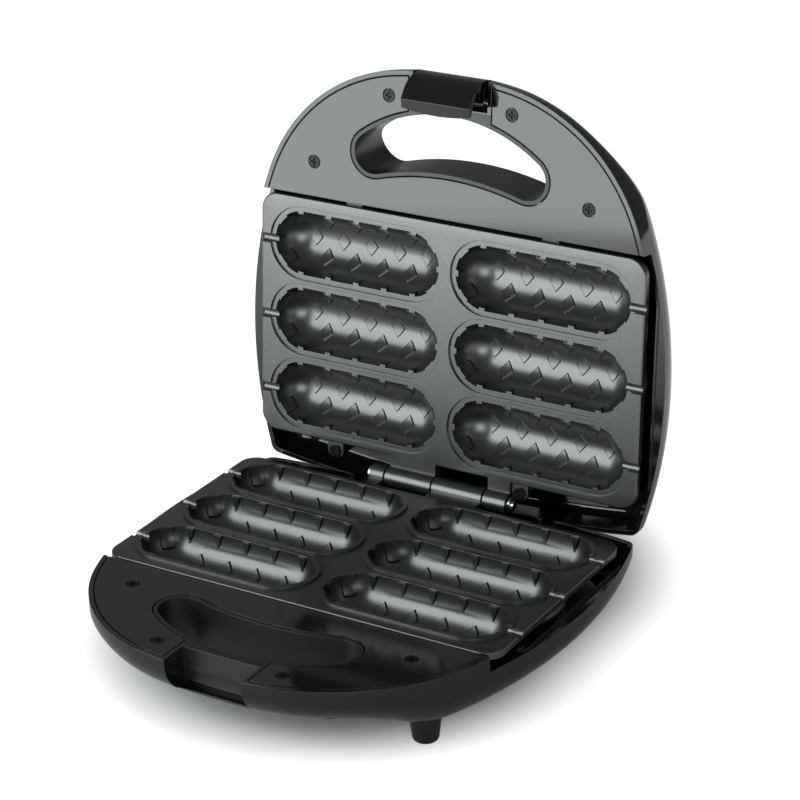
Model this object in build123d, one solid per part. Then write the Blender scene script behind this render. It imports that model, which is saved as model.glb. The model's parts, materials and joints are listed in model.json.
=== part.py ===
from build123d import *
import math
import os

# Hot dog machine: two hinged halves with six sausage moulds each, a latch at the handle, four feet.
# Millimetres. Each half is drawn lying open side up, hinge axis along X through the origin,
# front towards -Y, its parting face just below z = 0. The lid half is turned over and swung open last.

# The open stop and the gap between the closed plates
OPEN_ANGLE = 94.5
PART_GAP = 0.6
STOP_CLEAR = 0.15

# Moulded plates
PLATE_W = 235.0
PLATE_D = 138.0
PLATE_REAR = 12.0
PLATE_T = 4.0
PLATE_CORNER = 10.0
PLATE_EDGE_R = 1.0

# Sausage moulds, in two columns of three rows
MOULD_R = 18.1
MOULD_LEN = 104.0
MOULD_WALL = 2.5
MOULD_X = 57.15
ROW_PITCH = 43.6
ROW_MID = 80.0
STICK_R = 2.7
BEAD_W = 2.4
BEAD_H = 1.2
BEAD_CLEAR = 0.4
REBATE_DEPTH = 1.3

# Raised pattern inside each mould
RAISE = 0.9
LOZENGE_PITCH = 17.8
LOZENGE_W = 8.6
LOZENGE_H = 14.0
LOZENGE_RAISE = 0.6
LOZENGE_ROW = 35.0
LOZENGE_DRAFT = 40.0
LOZENGE_SIDE_RAISE = 0.1
LOZENGE_SIDE_LEAN = 1.25
LOZENGE_ROOT = 2.0
TOOTH_W = 4.6
TOOTH_DEPTH = 8.4
TOOTH_RAISE = 1.5
PAD_W = 7.0
PAD_TURN = 41.0
PAD_INNER = 14.4

# Hinge in the middle of the rear edge: four knuckles on one pin
KNUCKLE_R = 6.0
KNUCKLE_ENDS = (-43.0, -33.4, -3.6, 28.4, 43.0)
KNUCKLE_GAP = 1.0
HINGE_PIN_R = 2.5
PIN_CLEAR = 0.05
PIN_HEAD_R = 4.0
PIN_HEAD_T = 1.6
CLIP_T = 1.0
CLIP_R = 4.4
CLIP_GROOVE = 0.6

# Outline of both shells, seen from above
SHELL_HALF_W = 127.5
SIDE_R = 265.0
SIDE_WIDEST = 75.0
FRONT_REACH = 231.0
FRONT_R = 230.0
SHOULDER_R = 100.0
REAR_REACH = 13.0
REAR_BOW = 8.0

# Depth and edges of both shells
BODY_DEPTH = 33.0
HANDLE_DEPTH = 24.0
RAMP_START = 174.0
RAMP_END = 191.0
RAMP_R = 34.0
EDGE_R = 22.0
REAR_EDGE_R = 6.0
SHELL_WALL = 2.5
SIDE_DROP = 8.0
LEDGE_X = 120.8
LEDGE_T = 3.0
LEDGE_LIP_W = 1.1
LEDGE_LIP_H = 1.0

# Handle hole, a crescent, and the cover around it
COVER_REAR = 152.0
COVER_T = 2.2
COVER_CLEAR = 0.2
COVER_GAP = 0.7
HOLE_END_X = 46.5
HOLE_END_D = 181.7
HOLE_END_R = 13.6
HOLE_OUTER = 210.9
HOLE_INNER = 174.6
HOLE_WALL = 2.2

# Latch notch in the front of the handle
NOTCH_W = 45.0
NOTCH_RIB = 2.2
NOTCH_BACK = 213.5
LID_POCKET_DEPTH = 19.0
CATCH_DROP = 12.6
CATCH_DEPTH = 2.5
LIP_FRONT = 217.5
LIP_DROP_BACK = 20.2
LIP_DROP_FRONT = 21.4

# Latch on the lid
LATCH_W = 41.0
LATCH_T = 2.3
LATCH_PIN_D = 218.5
LATCH_PIN_Z = -3.0
LATCH_PIN_R = 2.0
LATCH_HUB_R = 4.0
LATCH_CHEEK_T = 2.5
LATCH_TOP_Z = -13.0
LATCH_BULGE_D = 230.0
LATCH_LOW_Z = 12.0
LATCH_LOW_D = 224.0
LATCH_TOP_D = 226.6
LATCH_KNEE_D = 218.4
LATCH_HOOK_T = 1.9
LATCH_HOOK_CLEAR = 0.6
LATCH_TIP_T = 0.4
LATCH_TIP_R = 105.0

# Screws
SCREW_R = 1.3
SCREW_CLEAR = 0.12
COVER_HEAD_R = 3.3
COVER_HEAD_T = 1.3
COVER_SEAT_CLEAR = 0.45
COVER_SCREW_LEN = 14.0
COVER_SCREWS = ((83.4, 171.4), (37.0, 214.6))
PLATE_HEAD_R = 3.3
PLATE_HEAD_T = 1.6
PLATE_SCREW_LEN = 12.0
POST_R = 4.0
PHILLIPS_SHARE = 0.6
PHILLIPS_W = 0.9
PHILLIPS_DEPTH = 0.8

# Lugs that hold the plates
LUG_D = 7.0
LUG_HALF = 5.0
LUG_T = 2.5
LUG_RELIEF = 0.4
LOWER_LUGS = (-48.2, 70.0)
UPPER_LUGS = (-69.3, 47.8)
TONGUE_X = 60.0
TONGUE_D = 154.5
TONGUE_HALF = 5.0
TONGUE_T = 2.6
TONGUE_DROP = 3.6

# Heating element and its surroundings
TUBE_R = 3.25
TUBE_CLEAR = 0.1
TUBE_END_X = 101.0
INSULATOR_R = 4.4
INSULATOR_LEN = 9.0
COLD_PIN_R = 1.2
COLD_PIN_LEN = 14.0
SHIELD_T = 0.6
SHIELD_GAP = 1.4
SHIELD_HALF_W = 109.0
SHIELD_REAR = 20.0
SHIELD_FRONT = 141.0
SHIELD_SCREW_X = 104.0
SHIELD_HEAD_R = 2.8
SHIELD_HEAD_T = 1.2
SHIELD_SCREW_LEN = 7.0
BULKHEAD_D = 145.0
BULKHEAD_T = 2.0
BULKHEAD_HALF = 90.0

# Control parts
THERMOSTAT_R = 6.5
THERMOSTAT_T = 7.0
THERMOSTAT_EDGE = 1.2
THERMOSTAT_BOSS_R = 4.0
THERMOSTAT_DROP = 13.3
FUSE_R = 2.0
FUSE_EDGE = 0.5
FUSE_LEN = 13.0
BLOCK_X = 0.0
BLOCK_D = 157.0
BLOCK_SIZE = (30.0, 10.0, 12.0)
BLOCK_WAYS = 3
BLOCK_HOLE_R = 1.6
GLAND_X = 0.0
GLAND_Z = -22.0
GLAND_R = 4.5
GLAND_FLANGE_R = 6.0
GLAND_FLANGE_T = 1.8
GLAND_BODY_LEN = 7.0
GLAND_BORE_R = 3.3
GLAND_CLEAR = 0.1

# Indicator lamps, seen on the lid's outer face
LAMP_X = 12.0
LAMP_D = 160.0
LENS_R = 4.0
LENS_PROUD = 0.6
LENS_EDGE_R = 0.48
LENS_FLANGE_R = 5.4
LENS_FLANGE_T = 1.2
LENS_CLEAR = 0.1
LAMP_R = 2.4
LAMP_EDGE_R = 1.9
LAMP_LEN = 8.0
LAMP_GAP = 0.3
BOARD_SIZE = (52.0, 12.0, 1.6)
BOARD_POST_X = 22.0
BOARD_POST_R = 2.5

# Feet
FOOT_X = 84.0
FOOT_FRONT_D = 161.0
FOOT_REAR_D = 22.0
FOOT_TOP_R = 8.8
FOOT_BOTTOM_R = 6.6
FOOT_LEN = 17.0
FOOT_ROUND = 2.5
SPIGOT_R = 4.0
SPIGOT_CLEAR = 0.15
FOOT_HEAD_R = 4.6
FOOT_HEAD_T = 1.6
FOOT_SCREW_LEN = 12.0

TOP = -PART_GAP / 2
FLOOR_IN = TOP - BODY_DEPTH + SHELL_WALL
FLOOR_OUT = TOP - BODY_DEPTH
STOP_SLOPE = math.tan(math.radians(OPEN_ANGLE / 2))
PLATE_UNDER = TOP - PLATE_T
BOWL_R = MOULD_R + MOULD_WALL
MOULD_STRAIGHT = MOULD_LEN / 2 - MOULD_R
ROWS = tuple(ROW_MID + k * ROW_PITCH for k in (-1, 0, 1))
VALLEYS = (ROW_MID - ROW_PITCH / 2, ROW_MID + ROW_PITCH / 2)
SHIELD_TOP = TOP - BOWL_R - SHIELD_GAP
FAR = 400.0


def block(x, d, z):
    """A box from low and high x, distance in front of the hinge, and z."""
    size = (x[1] - x[0], d[1] - d[0], z[1] - z[0])
    middle = ((x[0] + x[1]) / 2, -(d[0] + d[1]) / 2, (z[0] + z[1]) / 2)
    return Pos(*middle) * Box(*size)


def rod(x, d, z, radius):
    """An upright cylinder between two heights."""
    height = z[1] - z[0]
    return Pos(x, -d, z[0] + height / 2) * Cylinder(radius, height)


def cross_rod(x, d, z, radius):
    """A cylinder along X."""
    length = x[1] - x[0]
    return Pos((x[0] + x[1]) / 2, -d, z) * Rot(0, 90, 0) * Cylinder(radius, length)


def side_slab(points, x):
    """A side view, as pairs of distance in front of the hinge and z, made as wide as x."""
    face = Plane.YZ * make_face(Polyline(*[(-d, z) for d, z in points], close=True))
    return Pos(x[0], 0, 0) * extrude(face, x[1] - x[0], dir=(1, 0, 0))


def down(face, top, depth):
    """A flat outline at height top, extruded down by depth."""
    return Pos(0, 0, top) * extrude(face, depth, dir=(0, 0, -1))


def shoulder_centre():
    """Middle of the arc that joins the front arc and the side arc smoothly."""
    front_mid = FRONT_REACH - FRONT_R
    side_x = SHELL_HALF_W - SIDE_R
    r1 = FRONT_R - SHOULDER_R
    r2 = SIDE_R - SHOULDER_R
    gap = Vector(side_x, SIDE_WIDEST - front_mid, 0)
    along = (gap.length ** 2 + r1 ** 2 - r2 ** 2) / (2 * gap.length)
    out = math.sqrt(r1 ** 2 - along ** 2)
    unit = gap.normalized()
    return (unit.X * along + unit.Y * out, front_mid + unit.Y * along - unit.X * out)


def arc_point(centre, radius, towards):
    """The point of an arc that lies in the direction of another point."""
    dx = towards[0] - centre[0]
    dd = towards[1] - centre[1]
    scale = radius / math.hypot(dx, dd)
    return (centre[0] + dx * scale, centre[1] + dd * scale)


def outline(inset, rear):
    """The shell's outline from above, drawn in by inset, with a slightly bowed rear edge."""
    front_centre = (0.0, FRONT_REACH - FRONT_R)
    side_centre = (SHELL_HALF_W - SIDE_R, SIDE_WIDEST)
    shoulder = shoulder_centre()
    front_end = arc_point(front_centre, FRONT_R - inset, shoulder)
    side_end = arc_point(side_centre, SIDE_R - inset, shoulder)
    chord = ((front_end[0] + side_end[0]) / 2, (front_end[1] + side_end[1]) / 2)
    bulge = arc_point(shoulder, SHOULDER_R - inset, chord)
    corner = rear + REAR_BOW
    corner_x = side_centre[0] + math.sqrt((SIDE_R - inset) ** 2 - (corner - SIDE_WIDEST) ** 2)
    side_top = (SHELL_HALF_W - inset, SIDE_WIDEST)
    half = [(front_end, bulge, side_end), (side_end, side_top, (corner_x, corner))]
    front_left = (-front_end[0], front_end[1])
    front = (front_left, (0, FRONT_REACH - inset), front_end)
    edges = [ThreePointArc(*[(x, -d) for x, d in front])]
    for sign in (1, -1):
        for arc in half:
            edges.append(ThreePointArc(*[(sign * x, -d) for x, d in arc]))
    edges.append(ThreePointArc((corner_x, -corner), (0, -rear), (-corner_x, -corner)))
    return make_face(Wire(Wire.combine(edges)[0].edges()))


def bowl(inset):
    """The closed form of one half, drawn in by inset: outline, floor and rounded lower edges."""
    rear = inset - REAR_REACH
    front = FRONT_REACH + SHELL_WALL
    floor = FLOOR_OUT + inset
    grip = TOP - HANDLE_DEPTH + inset
    ramp = [(RAMP_END, grip), (RAMP_START, floor)]
    behind = rear - SHELL_WALL
    corners = [(behind, TOP), (front, TOP), (front, grip), *ramp, (behind, floor)]
    face = make_face(Polyline(*[(-d, z) for d, z in corners], close=True))
    bends = [v for v in face.vertices() if -v.X in (RAMP_START, RAMP_END)]
    side = Pos(-FAR / 2, 0, 0) * extrude(Plane.YZ * fillet(bends, RAMP_R), FAR, dir=(1, 0, 0))
    form = down(outline(inset, rear), TOP, FAR / 2) & side
    low = [e for e in form.edges() if e.center().Z < TOP - HANDLE_DEPTH / 3]
    level = [e for e in low if abs(e.tangent_at(0.5).Z) < 0.9]
    around = [e for e in level if abs(e.center().X) > 1 or -e.center().Y > RAMP_END + EDGE_R / 2]
    form = fillet(around, EDGE_R - inset)
    back = form.faces().sort_by(Axis.Y)[-1]
    return fillet([e for e in back.edges() if e.center().Z < TOP - 1], REAR_EDGE_R - inset)


def crescent(inset):
    """Outline of the handle hole, drawn in by inset."""
    end = (HOLE_END_X, HOLE_END_D)
    radius = HOLE_END_R - inset
    square = HOLE_END_X ** 2 + HOLE_END_D ** 2
    wide = HOLE_OUTER - HOLE_END_R
    narrow = HOLE_INNER + HOLE_END_R
    outer_mid = (0.0, (wide ** 2 - square) / (2 * (wide - HOLE_END_D)))
    inner_mid = (0.0, (narrow ** 2 - square) / (2 * (narrow - HOLE_END_D)))
    upper = arc_point(outer_mid, HOLE_OUTER - inset - outer_mid[1], end)
    lower = arc_point(inner_mid, HOLE_INNER + inset - inner_mid[1], end)
    tip = arc_point(end, radius, (2 * HOLE_END_X, HOLE_END_D))
    arcs = [
        ((-upper[0], upper[1]), (0, HOLE_OUTER - inset), upper),
        (upper, tip, lower),
        (lower, (0, HOLE_INNER + inset), (-lower[0], lower[1])),
        ((-lower[0], lower[1]), (-tip[0], tip[1]), (-upper[0], upper[1])),
    ]
    return make_face([ThreePointArc(*[(x, -d) for x, d in arc]) for arc in arcs])


def screw(x, d, seat, head_r, head_t, length):
    """A cross-head screw whose head stands on the height seat."""
    body = rod(x, d, (seat, seat + head_t), head_r) + rod(x, d, (seat - length, seat), SCREW_R)
    arm = head_r * PHILLIPS_SHARE
    low = seat + head_t - PHILLIPS_DEPTH
    for across, along in ((arm, PHILLIPS_W / 2), (PHILLIPS_W / 2, arm)):
        body -= block((x - across, x + across), (d - along, d + along), (low, seat + head_t + 1))
    return body


def both_sides(spots):
    """Each place and its mirror image on the left."""
    return [(sign * x, d) for x, d in spots for sign in (-1, 1)]


COVER_SPOTS = both_sides(COVER_SCREWS)
TONGUE_SPOTS = both_sides([(TONGUE_X, TONGUE_D)])
SHIELD_SPOTS = both_sides([(SHIELD_SCREW_X, d) for d in VALLEYS])
FOOT_SPOTS = both_sides([(FOOT_X, FOOT_FRONT_D), (FOOT_X, FOOT_REAR_D)])
TONGUE_TOP = TOP - TONGUE_DROP
SHIELD_UNDER = SHIELD_TOP - SHIELD_T
LUG_TOP = PLATE_UNDER + LUG_T
NOTCH_OUT = NOTCH_W / 2 + NOTCH_RIB


def post(solid, x, d, top, depth):
    """An upright post inside a shell, with a screw hole of that depth from its top."""
    bore = rod(x, d, (top - depth, top + 1), SCREW_R + SCREW_CLEAR)
    return (rod(x, d, (FLOOR_OUT, top), POST_R) & solid) - bore


def rim_cut():
    """What is taken off the rims: the sides lie lower for the sticks, the rear slopes to the open stop."""
    over = TOP + SHELL_WALL
    step = TOP - SIDE_DROP
    behind = -REAR_REACH - SHELL_WALL
    bend = (step + STOP_CLEAR) / STOP_SLOPE
    points = [
        (behind, over), (behind, behind * STOP_SLOPE - STOP_CLEAR), (bend, step),
        (COVER_REAR, step), (COVER_REAR, over),
    ]
    return side_slab(points, (-FAR / 2, FAR / 2))


def ledges():
    """Flat lens-shaped ledges between the bulging sides and a straight inner edge with a fine lip."""
    straight = Pos(0, -FRONT_REACH / 2) * Rectangle(2 * LEDGE_X, 2 * FRONT_REACH)
    lens = outline(SHELL_WALL / 2, inset_rear()) - straight
    step = TOP - SIDE_DROP
    keep = block((-FAR, FAR), (0, COVER_REAR), (step - LEDGE_T, step + LEDGE_LIP_H))
    shelf = down(lens, step, LEDGE_T)
    edge = LEDGE_X + LEDGE_LIP_W
    lip = down(lens, step + LEDGE_LIP_H, LEDGE_LIP_H) & block((-edge, edge), (0, FAR), (step, TOP))
    return (shelf + lip) & keep


def inset_rear():
    """The rear edge of the inner outline."""
    return SHELL_WALL - REAR_REACH


def half_shell(lugs):
    """What both shells share: skin, ledges, handle hole, notch walls, posts."""
    solid = bowl(0)
    shell = solid - bowl(SHELL_WALL) - rim_cut()
    shell += ledges()
    notch = block((-NOTCH_OUT, NOTCH_OUT), (HOLE_OUTER - HOLE_END_R, FRONT_REACH), (FLOOR_OUT, TOP))
    shell += (down(crescent(0), TOP, BODY_DEPTH) + notch) & solid
    shell -= down(crescent(HOLE_WALL), TOP + 1, BODY_DEPTH + 2)
    posts = [post(solid, x, d, TOP - COVER_T, COVER_SCREW_LEN) for x, d in COVER_SPOTS]
    posts += [post(solid, x, LUG_D, PLATE_UNDER, PLATE_SCREW_LEN) for x in lugs]
    posts += [post(solid, x, d, TONGUE_TOP - TONGUE_T, PLATE_SCREW_LEN) for x, d in TONGUE_SPOTS]
    posts += [post(solid, x, d, SHIELD_UNDER, SHIELD_SCREW_LEN) for x, d in SHIELD_SPOTS]
    wall = (BULKHEAD_D, BULKHEAD_D + BULKHEAD_T)
    posts.append(block((-BULKHEAD_HALF, BULKHEAD_HALF), wall, (FLOOR_OUT, PLATE_UNDER)) & solid)
    return shell + posts


def base_shell():
    shell = half_shell(LOWER_LUGS)
    half = NOTCH_W / 2
    undercut = NOTCH_BACK - CATCH_DEPTH
    catch = TOP - CATCH_DROP
    below = FLOOR_OUT - 1
    notch = [
        (NOTCH_BACK, TOP + 1), (NOTCH_BACK, catch), (undercut, catch), (undercut, TOP - LIP_DROP_BACK),
        (LIP_FRONT, TOP - LIP_DROP_FRONT), (LIP_FRONT, below), (FAR, below), (FAR, TOP + 1),
    ]
    shell -= side_slab(notch, (-half, half))
    for x, d in FOOT_SPOTS:
        shell -= rod(x, d, (FLOOR_OUT - 1, FLOOR_IN + 1), SPIGOT_R + SPIGOT_CLEAR)
    return shell - gland_rod(GLAND_R + GLAND_CLEAR, GLAND_BODY_LEN)


def lid_shell():
    shell = half_shell(UPPER_LUGS)
    half = NOTCH_W / 2
    shell -= block((-half, half), (NOTCH_BACK, FAR), (TOP - LID_POCKET_DEPTH, TOP + 1))
    shell -= cross_rod((-NOTCH_OUT, NOTCH_OUT), LATCH_PIN_D, TOP + LATCH_PIN_Z, LATCH_PIN_R + PIN_CLEAR)
    for x in (-LAMP_X, LAMP_X):
        shell -= rod(x, LAMP_D, (FLOOR_OUT - 1, FLOOR_IN + 1), LENS_R + LENS_CLEAR)
    for x in (-BOARD_POST_X, BOARD_POST_X):
        shell += rod(x, LAMP_D, (FLOOR_OUT + SHELL_WALL / 2, board_under()), BOARD_POST_R)
        shell -= rod(x, LAMP_D, (board_under() - SHIELD_SCREW_LEN, board_under() + 1), SCREW_R + SCREW_CLEAR)
    return shell


def gland_rod(radius, length):
    """A cylinder through the rear wall at the lead's inlet."""
    place = Pos(GLAND_X, REAR_REACH - length / 2, GLAND_Z) * Rot(90, 0, 0)
    return place * Cylinder(radius, length)


def cord_gland():
    flange = Pos(0, GLAND_FLANGE_T, 0) * gland_rod(GLAND_FLANGE_R, GLAND_FLANGE_T)
    bore = Pos(0, GLAND_FLANGE_T, 0) * gland_rod(GLAND_BORE_R, GLAND_BODY_LEN + 2 * GLAND_FLANGE_T)
    return gland_rod(GLAND_R, GLAND_BODY_LEN) + flange - bore


def handle_cover():
    """The flat cover of one handle, let into the rim around the hole and the notch."""
    face = outline(SHELL_WALL + COVER_GAP, inset_rear())
    face -= Pos(0, -(COVER_REAR - FAR / 2)) * Rectangle(FAR, FAR)
    face -= crescent(-COVER_GAP)
    face -= Pos(0, -(HOLE_END_D + FAR / 2)) * Rectangle(2 * (NOTCH_OUT + COVER_GAP), FAR)
    cover = down(face, TOP, COVER_T)
    for x, d in COVER_SPOTS:
        cover -= rod(x, d, (TOP - COVER_HEAD_T, TOP + 1), COVER_HEAD_R + COVER_SEAT_CLEAR)
        cover -= rod(x, d, (TOP - COVER_T - 1, TOP), SCREW_R + COVER_CLEAR)
    return cover


def cover_screws():
    seat = TOP - COVER_HEAD_T
    return [screw(x, d, seat, COVER_HEAD_R, COVER_HEAD_T, COVER_SCREW_LEN) for x, d in COVER_SPOTS]


def capsule(radius):
    """A sausage form along X, with the moulds' straight length."""
    form = Rot(0, 90, 0) * Cylinder(radius, 2 * MOULD_STRAIGHT)
    for sign in (-1, 1):
        form += Pos(sign * MOULD_STRAIGHT, 0, 0) * Sphere(radius)
    return form


def lozenge(x, turn):
    """One raised lozenge, a drafted prism that points out from the mould's axis."""
    half_w = LOZENGE_W / 2
    half_h = LOZENGE_H / 2
    inner_r = half_w * half_h / math.hypot(half_w, half_h)
    small = 1 - LOZENGE_ROOT * math.tan(math.radians(LOZENGE_DRAFT)) / inner_r
    out = Vector(0, math.sin(math.radians(turn)), -math.cos(math.radians(turn)))
    plane = Plane(origin=Vector(x, 0, 0) + out * (MOULD_R - LOZENGE_ROOT), x_dir=(1, 0, 0), z_dir=out)
    corners = [(half_w, 0), (0, half_h), (-half_w, 0), (0, -half_h)]
    shape = Polygon(*[(a * small, b * small) for a, b in corners], align=None)
    return extrude(plane * shape, LOZENGE_ROOT + RAISE, taper=-LOZENGE_DRAFT)


def tooth(place):
    """A pointed tooth under the rim, pointing down, drawn at the +Y side and then placed."""
    shape = Polygon((-TOOTH_W / 2, RAISE), (TOOTH_W / 2, RAISE), (0, -TOOTH_DEPTH), align=None)
    wedge = extrude(Plane.XZ.offset(-MOULD_R / 2) * shape, MOULD_R / 2 + RAISE, dir=(0, 1, 0))
    return place * wedge


def pad(place):
    """A broad strip near the round end of a mould, from the rim inwards."""
    strip = block((PAD_INNER, MOULD_R + RAISE), (-PAD_W / 2, PAD_W / 2), (-MOULD_R, RAISE))
    return place * strip


def relief():
    """All raised marks of one mould. The outer lozenges lean, so that their tips at the rim stand out."""
    level = capsule(MOULD_R - LOZENGE_RAISE)
    core = capsule(MOULD_R - RAISE)
    shaft = down(stadium(MOULD_R - TOOTH_RAISE), MOULD_R, 2 * MOULD_R)
    marks = []
    for k in (-2, -1, 0, 1, 2):
        x = k * LOZENGE_PITCH
        marks.append(lozenge(x, 0) - level)
        marks.append(tooth(Pos(x, 0, 0)) - shaft)
        marks.append(tooth(Pos(x, 0, 0) * Rot(0, 0, 180)) - shaft)
    for side in (-1, 1):
        leaning = Pos(0, -side * LOZENGE_SIDE_LEAN, 0) * capsule(MOULD_R - LOZENGE_SIDE_RAISE)
        for k in (-1.5, -0.5, 0.5, 1.5):
            marks.append(lozenge(k * LOZENGE_PITCH, side * LOZENGE_ROW) - leaning)
    for sign, turn in ((1, 0), (-1, 180)):
        centre = Pos(sign * MOULD_STRAIGHT, 0, 0)
        marks.append(tooth(centre * Rot(0, 0, turn - 90)) - shaft)
        for side in (-1, 1):
            marks.append(pad(centre * Rot(0, 0, turn + side * PAD_TURN)) - core)
    return marks


def mould_tool():
    """The space inside one mould, with its raised marks left standing."""
    return capsule(MOULD_R) - relief()


def stadium(radius):
    """A mould's outline from above at some radius."""
    return SlotCenterToCenter(2 * MOULD_STRAIGHT, 2 * radius)


def mould_places(z):
    return [Pos(sign * MOULD_X, -d, z) for d in ROWS for sign in (-1, 1)]


def plate(beaded, lugs, knuckles):
    """A cast plate: flat skin, six bowls, stick channels, lugs and hinge knuckles."""
    flat = Pos(0, -PLATE_REAR - PLATE_D / 2) * RectangleRounded(PLATE_W, PLATE_D, PLATE_CORNER)
    skin = down(flat, TOP, PLATE_T)
    skin = fillet(skin.edges().group_by(Axis.Z)[-1], PLATE_EDGE_R)
    half_bowl = capsule(BOWL_R) & block((-FAR, FAR), (-FAR, FAR), (-FAR, -PLATE_T / 2))
    solid = skin + [place * half_bowl for place in mould_places(TOP)]
    for x in lugs:
        tab = block((x - LUG_HALF, x + LUG_HALF), (LUG_D, PLATE_REAR + LUG_HALF), (PLATE_UNDER, LUG_TOP))
        tab += rod(x, LUG_D, (PLATE_UNDER, LUG_TOP), LUG_HALF)
        solid += tab - cross_rod((-PLATE_W, PLATE_W), 0, 0, CLIP_R + LUG_RELIEF)
        solid -= rod(x, LUG_D, (PLATE_UNDER - 1, LUG_TOP + 1), SCREW_R + COVER_CLEAR)
    for x, d in TONGUE_SPOTS:
        tab = (BULKHEAD_D + BULKHEAD_T + COVER_CLEAR, d + TONGUE_HALF)
        solid += block((x - TONGUE_HALF, x + TONGUE_HALF), tab, (TONGUE_TOP - TONGUE_T, TONGUE_TOP))
        solid -= rod(x, d, (TONGUE_TOP - TONGUE_T - 1, TONGUE_TOP + 1), SCREW_R + COVER_CLEAR)
    for low, high in knuckles:
        span = (low + KNUCKLE_GAP / 2, high - KNUCKLE_GAP / 2)
        arm = block(span, (0, PLATE_REAR + PLATE_T), (-KNUCKLE_R, TOP))
        solid += cross_rod(span, 0, 0, KNUCKLE_R) + arm
        solid -= cross_rod((low - 1, high + 1), 0, 0, HINGE_PIN_R + PIN_CLEAR)
    if beaded:
        solid += [place * extrude(stadium(MOULD_R + BEAD_W), BEAD_H) for place in mould_places(TOP)]
    else:
        rebate = extrude(stadium(MOULD_R + BEAD_W + BEAD_CLEAR), REBATE_DEPTH + 1)
        solid -= [place * rebate for place in mould_places(TOP - REBATE_DEPTH)]
    tool = mould_tool()
    solid -= [place * tool for place in mould_places(TOP)]
    reach = MOULD_X + MOULD_STRAIGHT + MOULD_R / 2
    for d in ROWS:
        for x in ((-PLATE_W, -reach), (reach, PLATE_W)):
            solid -= cross_rod(x, d, TOP, STICK_R)
    return solid


def lower_plate():
    ends = KNUCKLE_ENDS
    solid = plate(True, LOWER_LUGS, ((ends[0], ends[1]), (ends[2], ends[3])))
    return solid + rod(0, ROW_MID, (TOP - THERMOSTAT_DROP, PLATE_UNDER + 1), THERMOSTAT_BOSS_R)


def upper_plate():
    ends = KNUCKLE_ENDS
    return plate(False, UPPER_LUGS, ((ends[1], ends[2]), (ends[3], ends[4])))


def plate_screws(lugs):
    rear = [screw(x, LUG_D, LUG_TOP, PLATE_HEAD_R, PLATE_HEAD_T, PLATE_SCREW_LEN) for x in lugs]
    size = (SHIELD_HEAD_R, SHIELD_HEAD_T, PLATE_SCREW_LEN)
    return rear + [screw(x, d, TONGUE_TOP, *size) for x, d in TONGUE_SPOTS]


def tube_z():
    """Height at which the element's tube lies between two rows of bowls."""
    reach = BOWL_R + TUBE_R + TUBE_CLEAR
    return TOP - math.sqrt(reach ** 2 - (ROW_PITCH / 2) ** 2)


def heating_element():
    """A U-shaped tubular heater between the rows, bent round the end of the middle row."""
    z = tube_z()
    turn = MOULD_X + MOULD_STRAIGHT
    near, far = [-d for d in VALLEYS]
    path = Wire([
        Line((-TUBE_END_X, near, z), (turn, near, z)),
        ThreePointArc((turn, near, z), (turn + ROW_PITCH / 2, -ROW_MID, z), (turn, far, z)),
        Line((turn, far, z), (-TUBE_END_X, far, z)),
    ])
    start = Plane(origin=(-TUBE_END_X, near, z), x_dir=(0, 1, 0), z_dir=(1, 0, 0))
    element = sweep(start * Circle(TUBE_R), path)
    for d in VALLEYS:
        element += cross_rod((-TUBE_END_X - COLD_PIN_LEN, -TUBE_END_X + 1), d, z, COLD_PIN_R)
    return element


def element_insulators():
    span = (-TUBE_END_X - INSULATOR_LEN, -TUBE_END_X)
    z = tube_z()
    bore = COLD_PIN_R + PIN_CLEAR
    return [cross_rod(span, d, z, INSULATOR_R) - cross_rod(span, d, z, bore) for d in VALLEYS]


def heat_shield():
    span = (-SHIELD_HALF_W, SHIELD_HALF_W)
    sheet = block(span, (SHIELD_REAR, SHIELD_FRONT), (SHIELD_UNDER, SHIELD_TOP))
    sheet = fillet(sheet.edges().filter_by(Axis.Z), PLATE_CORNER)
    for x, d in SHIELD_SPOTS:
        sheet -= rod(x, d, (SHIELD_UNDER - 1, SHIELD_TOP + 1), SCREW_R + COVER_CLEAR)
    return sheet


def shield_screws():
    size = (SHIELD_HEAD_R, SHIELD_HEAD_T, SHIELD_SCREW_LEN)
    return [screw(x, d, SHIELD_TOP, *size) for x, d in SHIELD_SPOTS]


def thermostat():
    seat = TOP - THERMOSTAT_DROP
    disc = rod(0, ROW_MID, (seat - THERMOSTAT_T, seat), THERMOSTAT_R)
    return chamfer(disc.edges().group_by(Axis.Z)[0], THERMOSTAT_EDGE)


def thermal_fuse():
    length = Pos(0, -ROWS[0], SHIELD_TOP + FUSE_R + PIN_CLEAR) * Rot(90, 0, 0) * Cylinder(FUSE_R, FUSE_LEN)
    return chamfer(length.edges(), FUSE_EDGE)


def terminal_block():
    wide, deep, tall = BLOCK_SIZE
    x = (BLOCK_X - wide / 2, BLOCK_X + wide / 2)
    body = block(x, (BLOCK_D - deep / 2, BLOCK_D + deep / 2), (FLOOR_IN, FLOOR_IN + tall))
    pitch = wide / BLOCK_WAYS
    for k in range(BLOCK_WAYS):
        at = x[0] + pitch * (k + 0.5)
        body -= rod(at, BLOCK_D, (FLOOR_IN + tall / 2, FLOOR_IN + tall + 1), BLOCK_HOLE_R)
    return body


def foot(x, d):
    """A tapered foot with a spigot through the floor and a pilot hole for its screw."""
    cone = Pos(x, -d, FLOOR_OUT - FOOT_LEN / 2) * Cone(FOOT_BOTTOM_R, FOOT_TOP_R, FOOT_LEN)
    cone = fillet(cone.edges().group_by(Axis.Z)[0], FOOT_ROUND)
    cone += rod(x, d, (FLOOR_OUT, FLOOR_IN), SPIGOT_R)
    return cone - rod(x, d, (FLOOR_IN - FOOT_SCREW_LEN, FLOOR_IN + 1), SCREW_R + SCREW_CLEAR)


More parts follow.
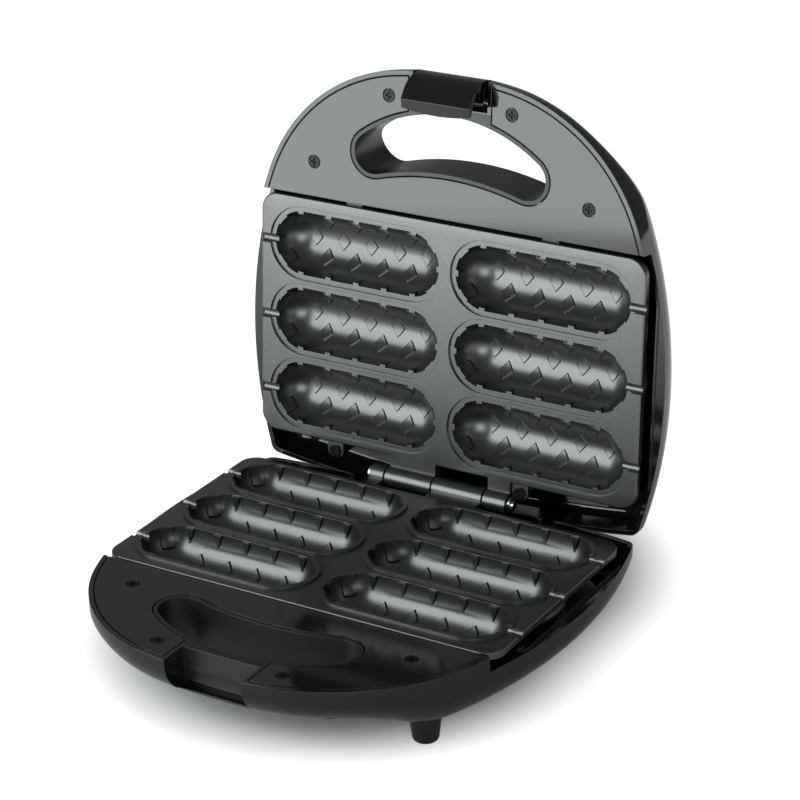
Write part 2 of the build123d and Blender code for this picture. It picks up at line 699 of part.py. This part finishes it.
def foot_screws():
    size = (FOOT_HEAD_R, FOOT_HEAD_T, FOOT_SCREW_LEN)
    return [screw(x, d, FLOOR_IN, *size) for x, d in FOOT_SPOTS]


def hinge_pin():
    low = KNUCKLE_ENDS[0]
    high = KNUCKLE_ENDS[-1]
    pin = cross_rod((low, high + 3 * CLIP_T), 0, 0, HINGE_PIN_R)
    pin += cross_rod((low - PIN_HEAD_T, low), 0, 0, PIN_HEAD_R)
    groove = (high + CLIP_T / 2, high + CLIP_T / 2 + CLIP_T + PIN_CLEAR)
    ring = cross_rod(groove, 0, 0, PIN_HEAD_R) - cross_rod(groove, 0, 0, HINGE_PIN_R - CLIP_GROOVE)
    return pin - ring


def hinge_pin_clip():
    low = KNUCKLE_ENDS[-1] + CLIP_T / 2
    span = (low, low + CLIP_T)
    inner = HINGE_PIN_R - CLIP_GROOVE + PIN_CLEAR
    ring = cross_rod(span, 0, 0, CLIP_R) - cross_rod(span, 0, 0, inner)
    return ring - block(span, (0, FAR), (-inner, inner))


def board_under():
    """Underside of the lamp board, above the lamps that stand over their lenses."""
    return FLOOR_IN + LENS_FLANGE_T + LAMP_GAP + LAMP_LEN


def lamp_board():
    wide, deep, thick = BOARD_SIZE
    low = board_under()
    board = block((-wide / 2, wide / 2), (LAMP_D - deep / 2, LAMP_D + deep / 2), (low, low + thick))
    for x in (-BOARD_POST_X, BOARD_POST_X):
        board -= rod(x, LAMP_D, (low - 1, low + thick + 1), SCREW_R + COVER_CLEAR)
    return board


def lamp_board_screws():
    seat = board_under() + BOARD_SIZE[2]
    size = (SHIELD_HEAD_R, SHIELD_HEAD_T, SHIELD_SCREW_LEN)
    return [screw(x, LAMP_D, seat, *size) for x in (-BOARD_POST_X, BOARD_POST_X)]


def indicator_lamp(x):
    top = board_under()
    bulb = rod(x, LAMP_D, (top - LAMP_LEN, top), LAMP_R)
    return fillet(bulb.edges().group_by(Axis.Z)[0], LAMP_EDGE_R)


def lamp_lens(x):
    lens = rod(x, LAMP_D, (FLOOR_OUT - LENS_PROUD, FLOOR_IN), LENS_R)
    lens = fillet(lens.edges().group_by(Axis.Z)[0], LENS_EDGE_R)
    return lens + rod(x, LAMP_D, (FLOOR_IN, FLOOR_IN + LENS_FLANGE_T), LENS_FLANGE_R)


def latch():
    """A curved front plate with a bowed hook under its lower edge, two cheeks and a hub for the pin."""
    hook_top = TOP + PART_GAP + CATCH_DROP + LATCH_HOOK_CLEAR
    hook_low = hook_top + LATCH_HOOK_T
    tip = NOTCH_BACK - CATCH_DEPTH + LATCH_HOOK_CLEAR
    ends = [(LATCH_TOP_D, TOP + LATCH_TOP_Z), (LATCH_BULGE_D, TOP), (LATCH_LOW_D, TOP + LATCH_LOW_Z)]
    outer = ThreePointArc(*ends)
    centre = (outer.arc_center.X, outer.arc_center.Y)
    inner = [arc_point(centre, outer.radius - LATCH_T, point) for point in ends]
    throat = NOTCH_BACK + LATCH_HOOK_CLEAR
    hook = [(LATCH_KNEE_D, hook_low), (tip, hook_top + LATCH_TIP_T), (tip, hook_top), (throat, hook_top)]
    edges = [
        outer,
        Polyline(ends[2], *hook, inner[2]),
        ThreePointArc(inner[2], inner[1], inner[0]),
        Line(inner[0], ends[0]),
    ]
    face = mirror(make_face(edges), Plane.YZ)
    half = LATCH_W / 2
    body = Pos(-half, 0, 0) * extrude(Plane.YZ * face, LATCH_W, dir=(1, 0, 0))
    bow = rod(0, tip + LATCH_TIP_R, (hook_top - 1, hook_low + 1), LATCH_TIP_R)
    body -= block((-half, half), (tip - 1, throat), (hook_top - 1, hook_low + 1)) - bow
    z = TOP + LATCH_PIN_Z
    middle = [arc_point(centre, outer.radius - LATCH_T / 2, point) for point in ends]
    cheek = [(LATCH_PIN_D, z - LATCH_HUB_R), middle[0], middle[1], (LATCH_PIN_D, z + LATCH_HUB_R)]
    for x in ((-half, LATCH_CHEEK_T - half), (half - LATCH_CHEEK_T, half)):
        body += side_slab(cheek, x)
    body += cross_rod((-half, half), LATCH_PIN_D, z, LATCH_HUB_R)
    return body - cross_rod((-half - 1, half + 1), LATCH_PIN_D, z, LATCH_PIN_R + PIN_CLEAR)


def latch_pin():
    end = NOTCH_OUT - PIN_CLEAR
    return cross_rod((-end, end), LATCH_PIN_D, TOP + LATCH_PIN_Z, LATCH_PIN_R)


def swung_open(shape):
    """A piece of the lid half, turned over onto the base half and swung up to the open stop."""
    return Rot(-OPEN_ANGLE, 0, 0) * mirror(shape, Plane.XY)


def base_pieces():
    return {
        "base_shell": base_shell(),
        "base_handle_cover": handle_cover(),
        "base_cover_screws": cover_screws(),
        "lower_plate": lower_plate(),
        "lower_plate_screws": plate_screws(LOWER_LUGS),
        "lower_heating_element": heating_element(),
        "lower_element_insulators": element_insulators(),
        "lower_heat_shield": heat_shield(),
        "lower_shield_screws": shield_screws(),
        "thermostat": thermostat(),
        "thermal_fuse": thermal_fuse(),
        "terminal_block": terminal_block(),
        "cord_gland": cord_gland(),
        "front_feet": [foot(x, d) for x, d in FOOT_SPOTS if d == FOOT_FRONT_D],
        "rear_feet": [foot(x, d) for x, d in FOOT_SPOTS if d == FOOT_REAR_D],
        "foot_screws": foot_screws(),
        "hinge_pin": hinge_pin(),
        "hinge_pin_clip": hinge_pin_clip(),
    }


def lid_pieces():
    return {
        "lid_shell": lid_shell(),
        "lid_handle_cover": handle_cover(),
        "lid_cover_screws": cover_screws(),
        "upper_plate": upper_plate(),
        "upper_plate_screws": plate_screws(UPPER_LUGS),
        "upper_heating_element": heating_element(),
        "upper_element_insulators": element_insulators(),
        "upper_heat_shield": heat_shield(),
        "upper_shield_screws": shield_screws(),
        "lamp_board": lamp_board(),
        "lamp_board_screws": lamp_board_screws(),
        "indicator_lamps": [indicator_lamp(-LAMP_X), indicator_lamp(LAMP_X)],
        "power_lamp_lens": lamp_lens(-LAMP_X),
        "ready_lamp_lens": lamp_lens(LAMP_X),
        "latch_pin": latch_pin(),
        "latch": latch(),
    }


def solids(shapes):
    """One flat list of the solids in a shape or a list of shapes."""
    items = shapes if isinstance(shapes, list) else [shapes]
    return [solid for item in items for solid in item.solids()]


def main():
    nodes = {name: solids(shapes) for name, shapes in base_pieces().items()}
    for name, shapes in lid_pieces().items():
        nodes[name] = [swung_open(solid) for solid in solids(shapes)]
    box = Compound([solid for group in nodes.values() for solid in group]).bounding_box()
    home = Pos(0, -(box.min.Y + box.max.Y) / 2, -box.min.Z)
    print("hinge axis at", home.position, "size", box.size)
    os.makedirs("parts", exist_ok=True)
    for name, group in nodes.items():
        placed = [home * solid for solid in group]
        export_step(placed[0] if len(placed) == 1 else Compound(placed), f"parts/{name}.step")


if __name__ == "__main__":
    main()
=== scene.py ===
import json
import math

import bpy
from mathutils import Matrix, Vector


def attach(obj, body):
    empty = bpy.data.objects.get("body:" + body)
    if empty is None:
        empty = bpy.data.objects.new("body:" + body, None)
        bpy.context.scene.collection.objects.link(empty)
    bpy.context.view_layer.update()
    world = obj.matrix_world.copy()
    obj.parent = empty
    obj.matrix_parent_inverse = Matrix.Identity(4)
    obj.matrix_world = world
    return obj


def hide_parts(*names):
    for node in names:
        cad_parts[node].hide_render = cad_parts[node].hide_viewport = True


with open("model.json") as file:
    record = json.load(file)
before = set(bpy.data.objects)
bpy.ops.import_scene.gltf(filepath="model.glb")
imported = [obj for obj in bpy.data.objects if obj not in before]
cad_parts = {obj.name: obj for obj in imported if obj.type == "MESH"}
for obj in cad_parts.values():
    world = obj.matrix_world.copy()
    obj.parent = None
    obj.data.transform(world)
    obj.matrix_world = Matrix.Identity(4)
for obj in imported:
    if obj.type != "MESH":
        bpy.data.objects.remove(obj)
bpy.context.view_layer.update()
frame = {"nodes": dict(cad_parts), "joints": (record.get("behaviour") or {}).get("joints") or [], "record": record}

# %% [markdown]
# # A hot dog machine in gloss black
#
# The machine is a clamshell: two black shells, a cast plate with six sausage moulds in each, and a latch at
# the handle. The frame that was just loaded holds every solid at its real place, in metres. This lesson gives
# the surfaces their finish, sets up the photographer's table and its lamps, and ends with the dim room and the
# view.

MM = 0.001
NODES = frame["nodes"]
HINGE = Vector(next(j["pos_m"] for j in frame["joints"] if j["name"] == "lid_hinge"))

# %% [markdown]
# ## The camera
#
# A camera could be moved by eye until the picture looks right. This one was fitted instead: the six moulds of
# each plate are a regular grid, so their corners in the photograph fix the camera's place, its lens and a
# slight roll. The place is given from the hinge axis, because the hinge is the line that both halves share.
# The image is square, so the sensor is fitted to its width.

# %% Camera
CAMERA_FROM_HINGE = Vector((711.55, -1195.82, 670.74)) * MM
AZIMUTH = math.radians(31.622)
ELEVATION = math.radians(23.931)
ROLL = math.radians(-1.572)
LENS_MM = 127.08
SENSOR_MM = 36.0
UPWARDS = Vector((0, 0, 1))


def camera_turn(azimuth, elevation, roll):
    """The turn of a camera that looks down from the front right, with a slight roll."""
    level_part = math.cos(elevation)
    forward = Vector((-math.sin(azimuth) * level_part, math.cos(azimuth) * level_part, -math.sin(elevation)))
    level = forward.cross(UPWARDS).normalized()
    upright = level.cross(forward)
    right = level * math.cos(roll) + upright * math.sin(roll)
    up = upright * math.cos(roll) - level * math.sin(roll)
    return Matrix((right, up, -forward)).transposed()


lens = bpy.data.cameras.new("photo_camera")
lens.sensor_fit = "HORIZONTAL"
lens.sensor_width = SENSOR_MM
lens.lens = LENS_MM
camera = bpy.data.objects.new("photo_camera", lens)
bpy.context.scene.collection.objects.link(camera)
turn = camera_turn(AZIMUTH, ELEVATION, ROLL).to_4x4()
camera.matrix_world = Matrix.Translation(HINGE + CAMERA_FROM_HINGE) @ turn
bpy.context.scene.camera = camera
print("camera at", camera.location)

# %% [markdown]
# ## Shader maths in plain Python
#
# A finish is a small formula. Its nodes could be added and joined one by one, but then the formula is hard to
# read. Here one class wraps a socket, so that `0.3 + 0.1 * grain` adds its Math nodes by itself, and one method
# makes every other node: its settings come first, then the values or links of its sockets.

# %% A wrapper for sockets and a maker of nodes
MIX_FACTOR, MIX_FIRST, MIX_SECOND, MIX_RESULT = 0, 6, 7, 2


class Value:
    """A number or vector that varies over a surface: an output socket and the finish that it lies in."""

    def __init__(self, finish, socket):
        self.finish = finish
        self.socket = socket

    def maths(self, operation, first, second):
        return self.finish.node("ShaderNodeMath", {"operation": operation}, {0: first, 1: second})

    def __add__(self, other):
        return self.maths("ADD", self, other)

    def __sub__(self, other):
        return self.maths("SUBTRACT", self, other)

    def __mul__(self, other):
        return self.maths("MULTIPLY", self, other)

    def __pow__(self, other):
        return self.maths("POWER", self, other)

    def __radd__(self, other):
        return self.maths("ADD", other, self)

    def __rsub__(self, other):
        return self.maths("SUBTRACT", other, self)

    def __rmul__(self, other):
        return self.maths("MULTIPLY", other, self)

    def over(self, limit):
        """1 where the value is above a limit, otherwise 0."""
        return self.maths("GREATER_THAN", self, limit)

    def beyond(self, middle, half):
        """How far the value lies outside a span, 0 within it."""
        off = self.maths("ABSOLUTE", self - middle, 0.0)
        return self.maths("MAXIMUM", off - half, 0.0)


class Finish:
    """One material and its nodes."""

    def __init__(self, name):
        self.material = bpy.data.materials.new(name)
        self.material.use_nodes = True
        self.tree = self.material.node_tree
        self.tree.nodes.clear()
        self.output = self.tree.nodes.new("ShaderNodeOutputMaterial")

    def node(self, kind, settings=None, inputs=None, output=0):
        """Any node: its type, its settings, what goes into its sockets, and the output that is wanted."""
        made = self.tree.nodes.new(kind)
        for key, value in (settings or {}).items():
            setattr(made, key, value)
        for key, value in (inputs or {}).items():
            if isinstance(value, Value):
                self.tree.links.new(value.socket, made.inputs[key])
            else:
                made.inputs[key].default_value = value
        return Value(self, made.outputs[output])

    def place(self):
        """Position on the object, in metres."""
        return self.node("ShaderNodeTexCoord", output="Object")

    def axes(self):
        """The three coordinates of that position."""
        parts = self.node("ShaderNodeSeparateXYZ", {}, {0: self.place()})
        return [Value(self, socket) for socket in parts.socket.node.outputs]

    def noise(self, size_mm, detail=2.0, roughness=0.5):
        """Soft noise whose lumps are about size_mm wide, from 0 to 1."""
        settings = {"noise_dimensions": "3D"}
        inputs = {"Vector": self.place(), "Scale": 1 / (size_mm * MM), "Detail": detail, "Roughness": roughness}
        return self.node("ShaderNodeTexNoise", settings, inputs, "Fac")

    def mix(self, factor, first, second):
        """A colour between two colours."""
        inputs = {MIX_FACTOR: factor, MIX_FIRST: (*first, 1.0), MIX_SECOND: (*second, 1.0)}
        return self.node("ShaderNodeMix", {"data_type": "RGBA"}, inputs, MIX_RESULT)

    def bump(self, height, depth_mm, strength, normal):
        """A normal with fine relief on top of another normal."""
        inputs = {"Strength": strength, "Distance": depth_mm * MM, "Height": height, "Normal": normal}
        return self.node("ShaderNodeBump", {}, inputs, "Normal")

    def soft_edge(self, radius_mm, samples=4):
        """The normal with its edges rounded a little, as moulding and casting leave them."""
        return self.node("ShaderNodeBevel", {"samples": samples}, {"Radius": radius_mm * MM}, "Normal")

    def surface(self, **sockets):
        """The Principled shader with these sockets, a capital letter for each word of their names."""
        inputs = {key.replace("_", " ").title(): value for key, value in sockets.items()}
        if "Ior" in inputs:
            inputs["IOR"] = inputs.pop("Ior")
        return self.show(self.node("ShaderNodeBsdfPrincipled", {}, inputs, "BSDF"))

    def ray(self, kind):
        """1 for rays of one kind, such as those from the camera."""
        return self.node("ShaderNodeLightPath", output=kind)

    def show(self, shader):
        """Joins a shader to the material's output."""
        self.tree.links.new(shader.socket, self.output.inputs["Surface"])
        return self.material


print("shader tools", [tool.__name__ for tool in (Value, Finish)])

# %% [markdown]
# ## Gloss black plastic
#
# The shells, the covers and the latch are injection-moulded and polished, so they are nearly black and mirror
# the studio. A flat black would do for a distant view. Real gloss plastic isn't perfect, though: faint flow
# marks change its gloss, and its skin is a little uneven. The tool wasn't polished everywhere either. The walls
# of the handle holes and the back of the latch notch are satin. They belong to the same solid as the gloss
# around them, so a mask picks them by their place: how far across they lie, and how far in front of the hinge,
# measured along the half that they belong to.

# %% Where the shells are satin
HOLE_HALF_W = 63 * MM
HOLE_SPAN = (168 * MM, 212.6 * MM)
NOTCH_HALF_W = 22.6 * MM
NOTCH_SPAN = (212.6 * MM, 213.8 * MM)
LEAN = math.radians(4.5)
LID_ABOVE = HINGE.z + 60 * MM


def between(value, span):
    """1 where a value lies inside a span, otherwise 0."""
    return value.over(span[0]) * (1 - value.over(span[1]))


def satin_walls(finish):
    """1 on the walls of both handle holes and on the back of the base's notch, otherwise 0."""
    x, y, z = finish.axes()
    on_lid = z.over(LID_ABOVE)
    along_base = HINGE.y - y
    along_lid = (y - HINGE.y) * math.sin(LEAN) + (z - HINGE.z) * math.cos(LEAN)
    along = on_lid * along_lid + (1 - on_lid) * along_base
    hole = between(x, (-HOLE_HALF_W, HOLE_HALF_W)) * between(along, HOLE_SPAN)
    notch = between(x, (-NOTCH_HALF_W, NOTCH_HALF_W)) * between(along, NOTCH_SPAN)
    return hole + notch * (1 - on_lid)


print("satin from", [round(v / MM, 1) for v in HOLE_SPAN], "mm in front of the hinge")

# %% Gloss black plastic
BLACK = (0.006, 0.006, 0.0065, 1.0)
PLASTIC_IOR = 1.53
POLISHED_ROUGH = 0.05
LATCH_ROUGH = 0.14
SATIN_ROUGHER = 0.33
FLOW_MARK_MM = 35
FLOW_MARK_DETAIL = 3.0
FLOW_MARK_ROUGHER = 0.04
SKIN_MM = 2.2
SKIN_DEPTH_MM = 0.02
SKIN_STRENGTH = 0.08
PLASTIC_EDGE_MM = 0.5


def gloss_black(name, rough=POLISHED_ROUGH, part_satin=False):
    finish = Finish(name)
    rough = rough + FLOW_MARK_ROUGHER * finish.noise(FLOW_MARK_MM, FLOW_MARK_DETAIL)
    if part_satin:
        rough = rough + SATIN_ROUGHER * satin_walls(finish)
    skin = finish.noise(SKIN_MM)
    return finish.surface(
        base_color=BLACK,
        roughness=rough,
        ior=PLASTIC_IOR,
        normal=finish.bump(skin, SKIN_DEPTH_MM, SKIN_STRENGTH, finish.soft_edge(PLASTIC_EDGE_MM)),
    )


print("gloss plastic, roughness from", POLISHED_ROUGH)

# %% [markdown]
# ## Dark non-stick coat
#
# The plates are cast aluminium under a dark coat that holds fine metal flake, so they shine like worn pewter
# and turn dark where they face away from the lamps. Plain dark paint would stay grey there, and bare metal would
# be too bright, so the surface is mostly metallic with a dark colour. The grain of the sprayed coat is under a
# millimetre: it shows as a faint mottle and a surface that can just be felt.

# %% Dark non-stick coat
COAT_DARK = (0.07, 0.072, 0.07)
COAT_PALE = (0.136, 0.14, 0.137)
COAT_METALLIC = 0.85
COAT_ROUGH = 0.25
WEAR_MM = 24
WEAR_DETAIL = 3.0
WEAR_ROUGHER = 0.05
MOTTLE_MM = 0.8
MOTTLE_DETAIL = 2.0
MOTTLE_CONTRAST = 0.6
MOTTLE_ROUGHER = 0.05
MOTTLE_DEPTH_MM = 0.05
MOTTLE_STRENGTH = 0.25
CAST_EDGE_MM = 0.35


def non_stick():
    finish = Finish("non_stick_coat")
    mottle = finish.noise(MOTTLE_MM, MOTTLE_DETAIL, MOTTLE_CONTRAST)
    wear = finish.noise(WEAR_MM, WEAR_DETAIL)
    return finish.surface(
        base_color=finish.mix(mottle, COAT_DARK, COAT_PALE),
        roughness=COAT_ROUGH + WEAR_ROUGHER * wear + MOTTLE_ROUGHER * mottle,
        metallic=COAT_METALLIC,
        normal=finish.bump(mottle, MOTTLE_DEPTH_MM, MOTTLE_STRENGTH, finish.soft_edge(CAST_EDGE_MM)),
    )


print("non-stick coat, grain of", MOTTLE_MM, "mm")

# %% [markdown]
# ## Metals, ceramics and lamps
#
# The fixings and the heater lie mostly out of sight, but each has the finish of the real thing: blackened
# screws, a dull heater tube, a bright sheet that throws the heat back, and clear or tinted mouldings. Each could
# have a material of its own. They differ only in a few numbers, so one recipe makes them all: a grain that
# darkens the colour a little, dulls the gloss and can be felt.

# %% Metals, ceramics and lamps
SMALL_EDGE_MM = 0.2
GRAIN_DETAIL = 3.0
GRAIN_STRENGTH = 0.2
METAL = {"darker": 0.8, "rougher": 0.15, "depth_mm": 0.02, "metallic": 1.0}
MOULDING = {"darker": 0.9, "rougher": 0.1, "depth_mm": 0.03, "metallic": 0.0}


def grained(kind, name, colour, rough, grain_mm):
    """A finish of one kind: its name, colour, roughness and the size of its grain."""
    finish = Finish(name)
    grain = finish.noise(grain_mm, GRAIN_DETAIL)
    edge = finish.soft_edge(SMALL_EDGE_MM)
    return finish.surface(
        base_color=finish.mix(grain, colour, [c * kind["darker"] for c in colour]),
        roughness=rough + kind["rougher"] * grain,
        metallic=kind["metallic"],
        normal=finish.bump(grain, kind["depth_mm"], GRAIN_STRENGTH, edge),
    )


FINISHES = {
    "black_shell": gloss_black("gloss_black_plastic"),
    "nonstick_plate": non_stick(),
    "black_screw": grained(METAL, "blackened_screw", (0.022, 0.022, 0.023), 0.26, 1.5),
    "steel": grained(METAL, "bright_steel", (0.62, 0.62, 0.63), 0.22, 1.0),
    "tube": grained(METAL, "heater_tube", (0.3, 0.31, 0.3), 0.4, 2.0),
    "shield": grained(METAL, "aluminised_sheet", (0.75, 0.75, 0.77), 0.25, 4.0),
    "ceramic": grained(MOULDING, "ceramic", (0.85, 0.83, 0.78), 0.45, 1.5),
    "board": grained(MOULDING, "circuit_board", (0.06, 0.25, 0.1), 0.45, 2.0),
    "red_lens": grained(MOULDING, "red_lens", (0.5, 0.02, 0.015), 0.1, 3.0),
    "green_lens": grained(MOULDING, "green_lens", (0.02, 0.32, 0.06), 0.1, 3.0),
    "lamp": grained(MOULDING, "lamp_glass", (0.8, 0.8, 0.76), 0.12, 3.0),
    "rubber_bush": grained(MOULDING, "rubber_bush", (0.02, 0.02, 0.02), 0.55, 0.8),
}
SHELL_FINISH = gloss_black("gloss_black_shell", part_satin=True)
OWN_FINISH = {
    "base_shell": SHELL_FINISH,
    "lid_shell": SHELL_FINISH,
    "latch": gloss_black("satin_black_latch", LATCH_ROUGH),
}
print("finishes", sorted(FINISHES))

# %% [markdown]
# ## Smooth copies of the solids
#
# A node of the frame is a heap of loose triangles, so its curves would show as facets in the gloss. The node
# itself has to stay as it is. Each piece is therefore copied, its doubled points are merged, and its shading is
# smoothed wherever two faces meet at a small angle. The copy stands for the node and moves with the same body.

# %% Smooth copies
SMOOTH_UNDER = math.radians(28)
MERGE_UNDER = 0.002 * MM
SLOTS = {part["node"]: part["material_slot"] for part in frame["record"]["subparts"]}


def only(piece):
    """Selects one object and nothing else."""
    bpy.ops.object.select_all(action="DESELECT")
    piece.select_set(True)
    bpy.context.view_layer.objects.active = piece


def smooth_copy(node):
    """A merged, smoothly shaded copy of a node, in the finish of its slot."""
    only(NODES[node])
    bpy.ops.object.duplicate()
    piece = bpy.context.object
    piece.name = "smooth_" + node
    bpy.ops.object.mode_set(mode="EDIT")
    bpy.ops.mesh.select_all(action="SELECT")
    bpy.ops.mesh.remove_doubles(threshold=MERGE_UNDER)
    bpy.ops.object.mode_set(mode="OBJECT")
    bpy.ops.mesh.customdata_custom_splitnormals_clear()
    bpy.ops.object.shade_smooth_by_angle(angle=SMOOTH_UNDER)
    piece.data.materials.clear()
    piece.data.materials.append(OWN_FINISH.get(node, FINISHES[SLOTS[node]]))
    for body, members in frame["record"]["behaviour"]["bodies"].items():
        if node in members:
            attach(piece, body)
    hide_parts(node)
    return piece


for node in NODES:
    copy = smooth_copy(node)
    print(copy.name, len(copy.data.polygons), "faces")

# %% [markdown]
# ## The photographer's table
#
# The machine stands on a white table that fills the picture, because the camera looks down. Strong lamps could
# make the table white, but they would light the machine too, so most of the white is the table's own glow. That
# glow carries a painted shadow: to the camera it fades out in a rounded patch that hugs the base, so the shadow
# there is painted shade on top of the paper's real shade. Gloss that mirrors the table sees the glow too, with a
# wider painted shadow that darkens it close to the machine. To all other light it is only a pale surface.

# %% Table
TABLE_SIZE = 8.0
PAPER = (0.5, 0.5, 0.5, 1.0)
PAPER_ROUGH = 0.7
DARK, WHITE = (0, 0, 0), (1, 1, 1)
# Painted shadow seen by the camera: the table's glow fades out in a rounded box around the base.
SHADE_MIDDLE = (-0.014, 0.047)
SHADE_HALF = (0.0, 0.039)
SHADE_FADE = (0.095, 0.159)
# Painted shadow seen in gloss: the mirrored glow is dark near the machine and white far from it.
MIRROR_SHADE_MIDDLE = (0.0, -0.02, 0.0)
MIRROR_SHADE_FADE = (0.14, 0.5)
MIRROR_SHADE_NEAR = 0.05
ANY_RAY = 0.5
bpy.ops.object.select_all(action="DESELECT")
bpy.ops.mesh.primitive_plane_add(size=TABLE_SIZE, location=(0, 0, 0))
table = bpy.context.object
table.name = "table"


def ramp(finish, value, span, low=0.0):
    """Rises smoothly from a low value to 1 across a span."""
    inputs = {"Value": value, "From Min": span[0], "From Max": span[1], "To Min": low}
    return finish.node("ShaderNodeMapRange", {"interpolation_type": "SMOOTHSTEP"}, inputs)


def white_table_with_painted_shadow():
    finish = Finish("white_table_with_painted_shadow")
    x, y, _ = finish.axes()
    across = x.beyond(SHADE_MIDDLE[0], SHADE_HALF[0])
    along = y.beyond(SHADE_MIDDLE[1], SHADE_HALF[1])
    # Painted shadow: the camera sees no glow close to the base and full white further out.
    seen = ramp(finish, (across * across + along * along) ** 0.5, SHADE_FADE)
    # Painted shadow in reflections: the glow that gloss mirrors darkens towards the machine.
    inputs = {0: finish.place(), 1: MIRROR_SHADE_MIDDLE}
    away = finish.node("ShaderNodeVectorMath", {"operation": "DISTANCE"}, inputs, "Value")
    gloss_glow_painted_shadow = ramp(finish, away, MIRROR_SHADE_FADE, MIRROR_SHADE_NEAR)
    camera_ray = finish.ray("Is Camera Ray")
    other_ray = finish.ray("Is Glossy Ray") + finish.ray("Is Transmission Ray")
    glow = finish.mix(camera_ray * seen + (1 - camera_ray) * gloss_glow_painted_shadow, DARK, WHITE)
    inputs = {"Base Color": PAPER, "Roughness": PAPER_ROUGH}
    paper = finish.node("ShaderNodeBsdfPrincipled", {}, inputs, "BSDF")
    shine = finish.node("ShaderNodeEmission", {}, {"Color": glow}, "Emission")
    both = finish.node("ShaderNodeAddShader", {}, {0: paper, 1: shine}, "Shader")
    inputs = {0: (camera_ray + other_ray).over(ANY_RAY), 1: paper, 2: both}
    return finish.show(finish.node("ShaderNodeMixShader", {}, inputs, "Shader"))


table.data.materials.append(white_table_with_painted_shadow())
print("table", TABLE_SIZE, "m wide")

# %% [markdown]
# ## Lamps
#
# Gloss black only shows what it mirrors, so the size and place of a lamp matter more than its power. The lid's
# cover mirrors what stands low at the front left, so a tall panel stands on the table there and turns that cover
# an even grey. The moulds are round, so each shows the same panel as a soft band: on the bottom of the upper
# moulds and on the back slope of the lower ones, and both fall off into the dark beside it. A smaller panel at
# the front right gives the ends of the moulds their second light, one at the right draws the long highlight
# along the side, and a dim one behind shows in the base's cover.

# %% Lamps
COOL = (0.93, 0.985, 1.0)
PANELS = {
    "front_left_panel": {
        "place": (-0.4, -0.66, 0.37), "target": (0, 0.1, 0.3), "size": (0.62, 0.74), "power": 7.6,
    },
    "front_right_panel": {
        "place": (0.42, -0.66, 0.14), "target": (0, 0.1, 0.15), "size": (0.4, 0.26), "power": 1.7,
    },
    "right_panel": {
        "place": (1.0, -0.1, 0.5), "target": (0, 0, 0.1), "size": (0.5, 0.5), "power": 0.5,
    },
    "back_left_panel": {
        "place": (-0.6, 1.0, 0.55), "target": (0, 0, 0.05), "size": (0.9, 0.6), "power": 0.14,
    },
}


def soft_panel(name, place, target, size, power):
    """A large rectangular lamp that faces a point and isn't seen by the camera itself."""
    light = bpy.data.lights.new(name, "AREA")
    light.shape = "RECTANGLE"
    light.size, light.size_y = size
    light.energy = power
    light.color = COOL
    lamp = bpy.data.objects.new(name, light)
    bpy.context.scene.collection.objects.link(lamp)
    lamp.location = place
    lamp.rotation_euler = (Vector(target) - Vector(place)).to_track_quat("-Z", "Y").to_euler()
    lamp.visible_camera = False


for name, panel in PANELS.items():
    soft_panel(name, **panel)
print("lamps", list(PANELS))

# %% [markdown]
# ## The dim room and the view
#
# A studio is never quite black: its walls give a little light back from all sides. Walls could be built around
# the table, but a white world of low strength stands for them with far less work. The Standard view shows each
# colour about as it is written.

# %% Dim surroundings and the view
ROOM_COLOUR = (1, 1, 1, 1)
ROOM_STRENGTH = 0.17
world = bpy.data.worlds.new("studio")
bpy.context.scene.world = world
world.use_nodes = True
room = world.node_tree.nodes["Background"]
room.inputs["Color"].default_value = ROOM_COLOUR
room.inputs["Strength"].default_value = ROOM_STRENGTH
bpy.context.scene.view_settings.view_transform = "Standard"
print("room light", ROOM_STRENGTH)
